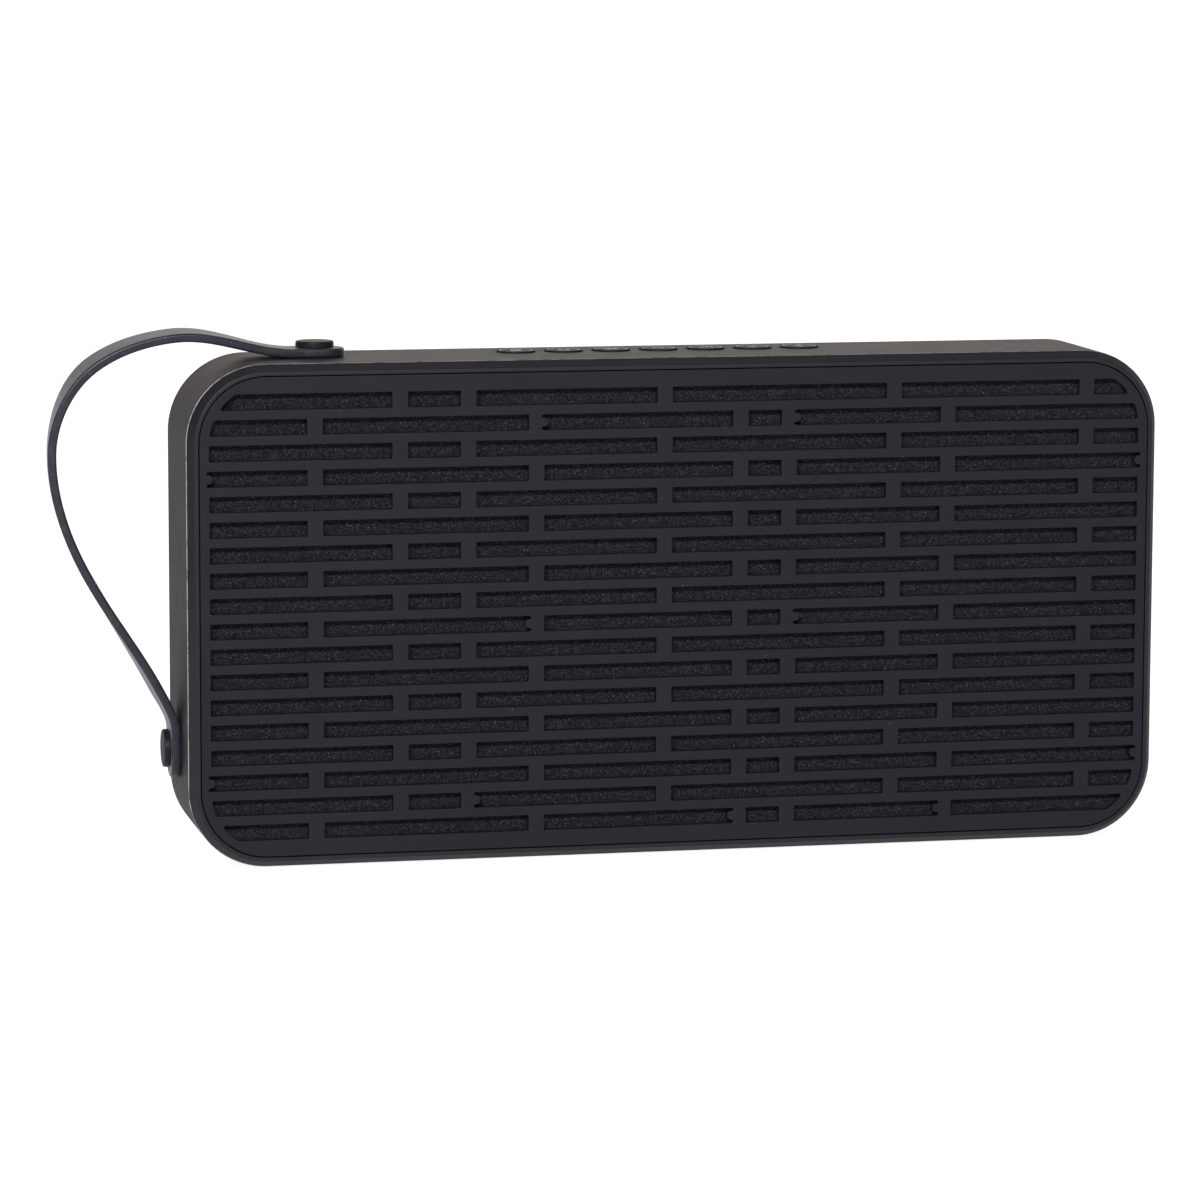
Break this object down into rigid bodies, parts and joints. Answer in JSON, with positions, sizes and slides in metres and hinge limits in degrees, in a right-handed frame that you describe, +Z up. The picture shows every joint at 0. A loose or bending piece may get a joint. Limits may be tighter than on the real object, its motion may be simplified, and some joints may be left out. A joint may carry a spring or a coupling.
{
  "type": "portable speaker",
  "caption": "Flat black portable shower speaker with a slotted front grille over foam, round top buttons, a port flap and a strap held by two studs.",
  "frame": {"origin": "middle of the foot pad's underside, where the speaker stands", "axes": "+X to the right seen from the front, +Y to the back, +Z up"},
  "size_m": [0.3318, 0.048, 0.1571],
  "materials": {
    "case_plastic": "fine moulded satin texture",
    "grille_plastic": "fine moulded satin texture",
    "foam": "open rough foam",
    "strap_leather": "smooth strap leather with rounded edges",
    "stud_metal": "black, satin",
    "button_plastic": "satin",
    "rubber": "matt",
    "inner_plastic": "moulded",
    "steel": "plain",
    "basket_steel": "black coat",
    "ferrite": "dull sintered",
    "cone_pulp": "pressed pulp cone",
    "copper": "enamelled wire",
    "circuit_board": "solder mask",
    "component_black": "moulded",
    "cell_wrap": "shrink wrap"
  },
  "bodies": {
    "case": {"housing": "case_plastic", "rear_cover": "case_plastic", "rear_gasket": "rubber", "rear_screws": "steel", "front_grille": "grille_plastic", "grille_foam": "foam", "foot_pad": "rubber", "front_baffle": "inner_plastic", "baffle_screws": "steel", "driver_frame_left": "basket_steel", "driver_frame_right": "basket_steel", "driver_yoke_left": "steel", "driver_yoke_right": "steel", "driver_magnet_left": "ferrite", "driver_magnet_right": "ferrite", "driver_surround_left": "rubber", "driver_surround_right": "rubber", "driver_spider_left": "foam", "driver_spider_right": "foam", "driver_screws": "steel", "radiator_frame": "basket_steel", "radiator_surround": "rubber", "battery_tray": "inner_plastic", "battery_cells": "cell_wrap", "battery_contacts": "steel", "main_board": "circuit_board", "board_chips": "component_black", "board_screws": "steel", "port_board": "circuit_board", "usb_port": "steel", "aux_jack": "component_black", "port_screws": "steel", "flap_pin": "steel", "button_carrier": "inner_plastic", "button_board": "circuit_board", "button_switches": "steel", "button_screws": "steel", "strap": "strap_leather", "strap_stud_top": "stud_metal", "strap_stud_side": "stud_metal", "strap_nuts": "steel"},
    "button_power": {"button_power": "button_plastic"},
    "button_call": {"button_call": "button_plastic"},
    "button_previous": {"button_previous": "button_plastic"},
    "button_play": {"button_play": "button_plastic"},
    "button_next": {"button_next": "button_plastic"},
    "button_volume_down": {"button_volume_down": "button_plastic"},
    "button_volume_up": {"button_volume_up": "button_plastic"},
    "flap": {"port_flap": "case_plastic", "flap_seal": "rubber"},
    "cone_left": {"driver_cone_left": "cone_pulp", "dust_cap_left": "cone_pulp", "voice_coil_left": "copper"},
    "cone_right": {"driver_cone_right": "cone_pulp", "dust_cap_right": "cone_pulp", "voice_coil_right": "copper"},
    "radiator": {"radiator_plate": "inner_plastic"}
  },
  "joints": [
    {"name": "button_power_press", "type": "slide", "parent": "case", "child": "button_power", "axis": [0, 0, -1], "range_m": [0, 0.0008], "stiffness_N_per_m": 900, "springref_m": -0.0002},
    {"name": "button_call_press", "type": "slide", "parent": "case", "child": "button_call", "axis": [0, 0, -1], "range_m": [0, 0.0008], "stiffness_N_per_m": 900, "springref_m": -0.0002},
    {"name": "button_previous_press", "type": "slide", "parent": "case", "child": "button_previous", "axis": [0, 0, -1], "range_m": [0, 0.0008], "stiffness_N_per_m": 900, "springref_m": -0.0002},
    {"name": "button_play_press", "type": "slide", "parent": "case", "child": "button_play", "axis": [0, 0, -1], "range_m": [0, 0.0008], "stiffness_N_per_m": 900, "springref_m": -0.0002},
    {"name": "button_next_press", "type": "slide", "parent": "case", "child": "button_next", "axis": [0, 0, -1], "range_m": [0, 0.0008], "stiffness_N_per_m": 900, "springref_m": -0.0002},
    {"name": "button_volume_down_press", "type": "slide", "parent": "case", "child": "button_volume_down", "axis": [0, 0, -1], "range_m": [0, 0.0008], "stiffness_N_per_m": 900, "springref_m": -0.0002},
    {"name": "button_volume_up_press", "type": "slide", "parent": "case", "child": "button_volume_up", "axis": [0, 0, -1], "range_m": [0, 0.0008], "stiffness_N_per_m": 900, "springref_m": -0.0002},
    {"name": "flap_hinge", "type": "hinge", "parent": "case", "child": "flap", "pos_m": [0.1455, 0.0088, 0.0746], "axis": [0, 0, 1], "range_deg": [0, 100]},
    {"name": "cone_left_travel", "type": "slide", "parent": "case", "child": "cone_left", "axis": [0, -1, 0], "range_m": [-0.0015, 0.0015], "stiffness_N_per_m": 1200, "deforming": ["driver_surround_left", "driver_spider_left"]},
    {"name": "cone_right_travel", "type": "slide", "parent": "case", "child": "cone_right", "axis": [0, -1, 0], "range_m": [-0.0015, 0.0015], "stiffness_N_per_m": 1200, "deforming": ["driver_surround_right", "driver_spider_right"]},
    {"name": "radiator_travel", "type": "slide", "parent": "case", "child": "radiator", "axis": [0, -1, 0], "range_m": [-0.0025, 0.0025], "stiffness_N_per_m": 900, "deforming": ["radiator_surround"]}
  ]
}
